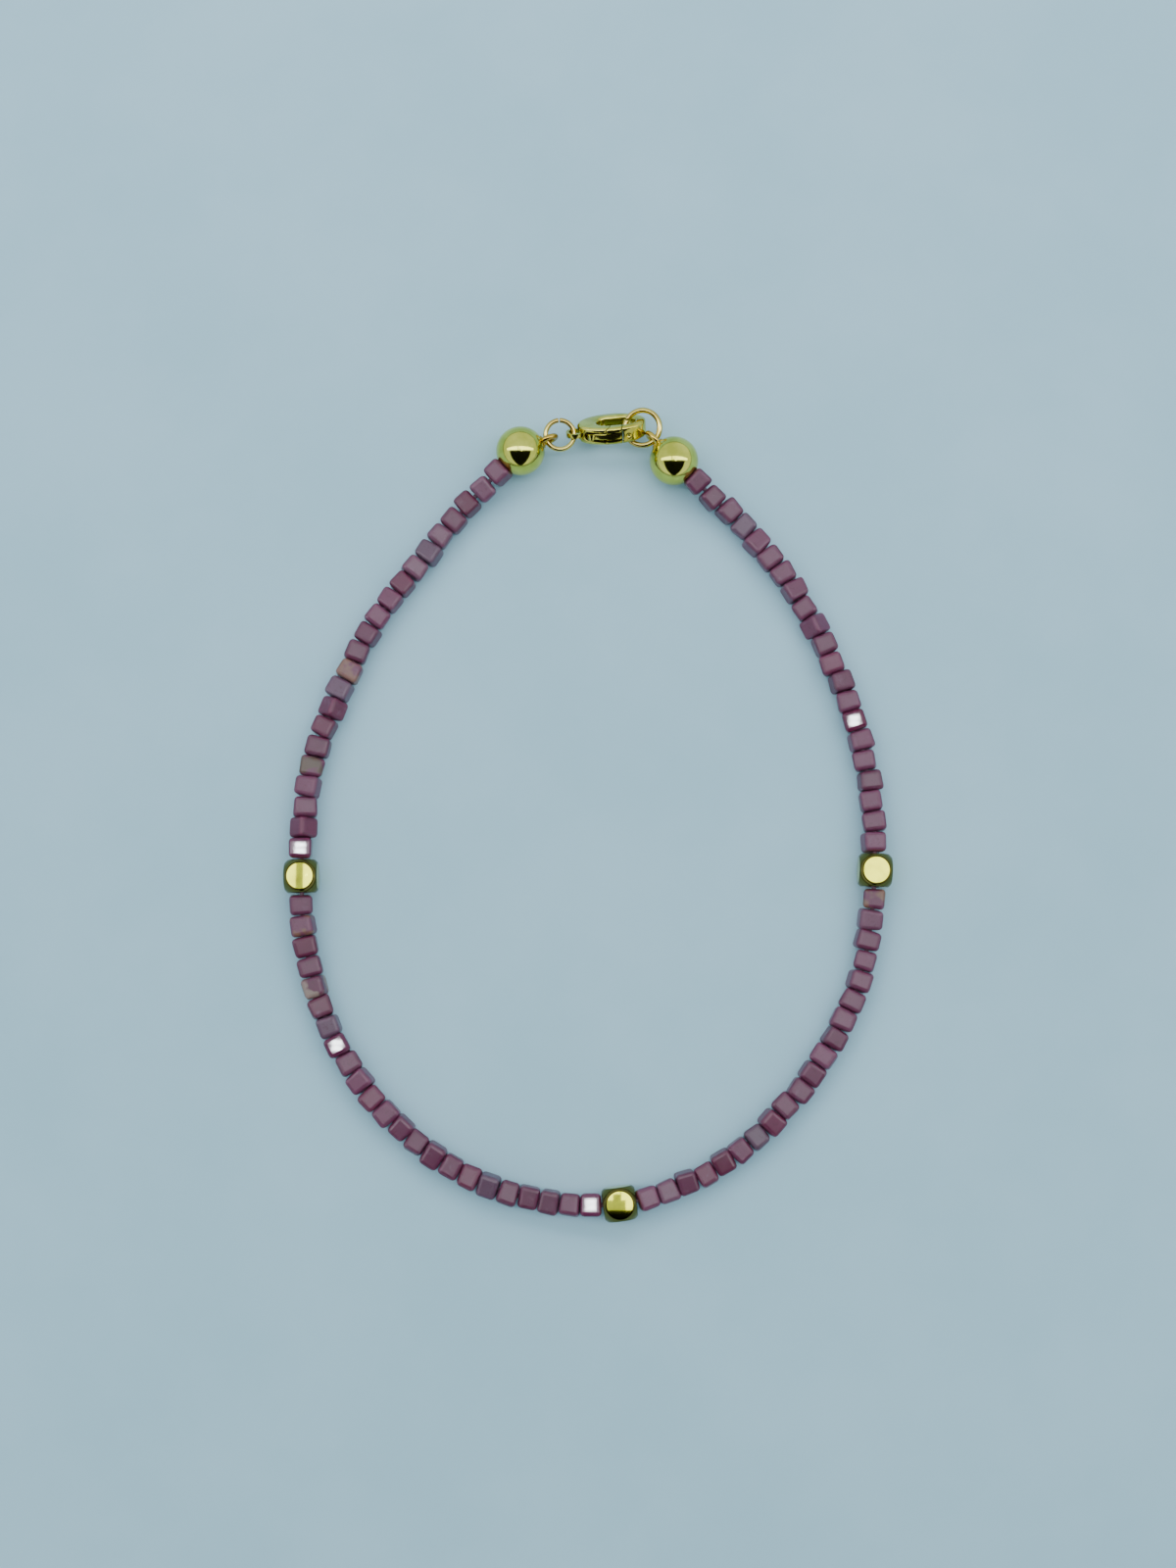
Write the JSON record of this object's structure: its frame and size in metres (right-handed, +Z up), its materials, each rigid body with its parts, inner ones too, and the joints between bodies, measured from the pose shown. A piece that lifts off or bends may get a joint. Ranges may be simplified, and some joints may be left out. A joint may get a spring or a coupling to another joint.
{
  "type": "gemstone bracelet",
  "caption": "Fine closed bracelet of small faceted square pink stones with rounded gold cubes, hollow gold end balls, jump rings and a lobster clasp, lying flat.",
  "frame": {"origin": "bottom centre of the whole bracelet's box, on the surface that it lies on", "axes": "+Z up from the surface, +Y along the loop's longer way towards the clasp, +X to the right with the clasp at the top"},
  "size_m": [0.0532, 0.0716, 0.0044],
  "materials": {
    "stone": "polished, slightly milky pink to mauve semi-precious stone",
    "gold": "mirror-polished pale yellow gold plating"
  },
  "bodies": {
    "bracelet": {"bead_string_left": "stone", "bead_string_right": "stone", "gold_cube_left": "gold", "gold_cube_bottom": "gold", "gold_cube_right": "gold", "end_ball_left": "gold", "end_ball_right": "gold", "jump_ring_left": "gold", "jump_ring_right": "gold", "clasp_body": "gold"},
    "lever": {"clasp_lever": "gold"}
  },
  "joints": [
    {"name": "lever_hinge", "type": "hinge", "parent": "bracelet", "child": "lever", "pos_m": [0.00138, 0.03319, 0.00292], "axis": [-0.0705, 0.8059, 0.5878], "range_deg": [0, 25], "stiffness_Nm_per_rad": 0.004}
  ]
}
